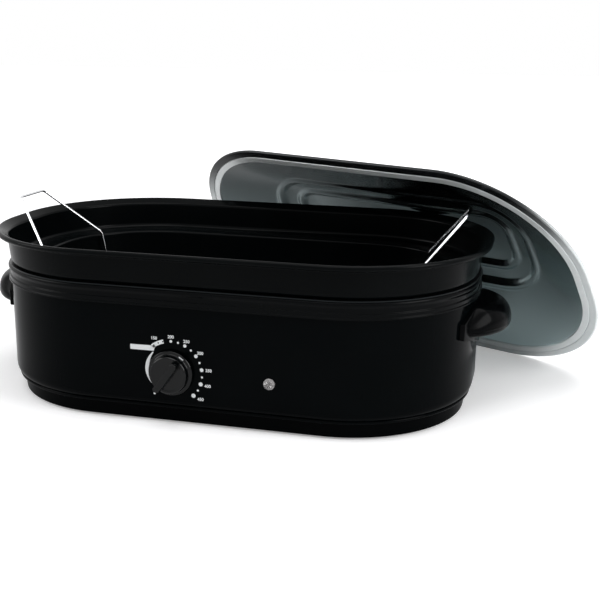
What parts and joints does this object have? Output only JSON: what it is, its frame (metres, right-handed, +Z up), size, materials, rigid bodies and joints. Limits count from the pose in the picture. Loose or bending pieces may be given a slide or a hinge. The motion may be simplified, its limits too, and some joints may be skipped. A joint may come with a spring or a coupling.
{
  "type": "electric roaster oven",
  "caption": "Countertop electric roaster oven: oval heated base with dial and lamp, lift-out pan with wire rack and folding lifters, and a lift-off domed lid leaning behind it.",
  "frame": {"origin": "on the counter under the centre of the housing", "axes": "+X to the right along the housing, -Y to the front with the dial, +Z up"},
  "size_m": [0.6979, 0.5021, 0.2559],
  "materials": {
    "black_enamel": "high gloss black enamel",
    "base_black": "satin black",
    "bare_steel": "satin",
    "rim_steel": "polished",
    "chrome_wire": "bright",
    "black_phenolic": "semi-gloss moulded",
    "black_rubber": "matt",
    "glass_wool": "fibrous",
    "mica_band": "matt",
    "brass_tab": "satin",
    "steatite": "matt",
    "lamp_clear": "faceted clear",
    "wire_sleeve": "matt sleeving"
  },
  "bodies": {
    "base": {"outer_housing": "black_enamel", "trim_band": "black_enamel", "base_plate": "base_black", "rubber_feet": "black_rubber", "base_screws": "bare_steel", "heat_well": "bare_steel", "insulation": "glass_wool", "heating_band": "mica_band", "band_terminals": "brass_tab", "thermostat": "steatite", "thermostat_bracket": "bare_steel", "lamp_lens": "lamp_clear", "lamp_body": "steatite", "terminal_block": "steatite", "wiring": "wire_sleeve", "cord_gland": "black_rubber", "handle_left": "black_phenolic", "handle_right": "black_phenolic", "handle_screws": "bare_steel"},
    "knob": {"control_knob": "black_phenolic", "thermostat_shaft": "bare_steel"},
    "pan": {"roasting_pan": "black_enamel"},
    "rack": {"roasting_rack": "chrome_wire"},
    "left_lifter": {"rack_lifter_left": "chrome_wire"},
    "right_lifter": {"rack_lifter_right": "chrome_wire"},
    "lid": {"lid_dome": "black_enamel", "lid_rim_trim": "rim_steel", "lid_handle": "black_phenolic", "lid_washers": "bare_steel", "lid_screws": "bare_steel"}
  },
  "joints": [
    {"name": "knob_turn", "type": "hinge", "parent": "base", "child": "knob", "pos_m": [-0.03, -0.157, 0.059], "axis": [0, 1, 0], "range_deg": [0, 278]},
    {"name": "pan_lift", "type": "slide", "parent": "base", "child": "pan", "axis": [0, 0, 1], "range_m": [0, 0.2]},
    {"name": "rack_lift", "type": "slide", "parent": "pan", "child": "rack", "axis": [0, 0, 1], "range_m": [0, 0.2]},
    {"name": "left_lifter_fold", "type": "hinge", "parent": "rack", "child": "left_lifter", "pos_m": [-0.19, 0, 0.0539], "axis": [0, 1, 0], "range_deg": [0, 68]},
    {"name": "right_lifter_fold", "type": "hinge", "parent": "rack", "child": "right_lifter", "pos_m": [0.19, 0, 0.0539], "axis": [0, -1, 0], "range_deg": [-4, 72]},
    {"name": "lid_lift", "type": "slide", "parent": "rack", "child": "lid", "axis": [0, 0, 1], "range_m": [0, 0.3]}
  ]
}
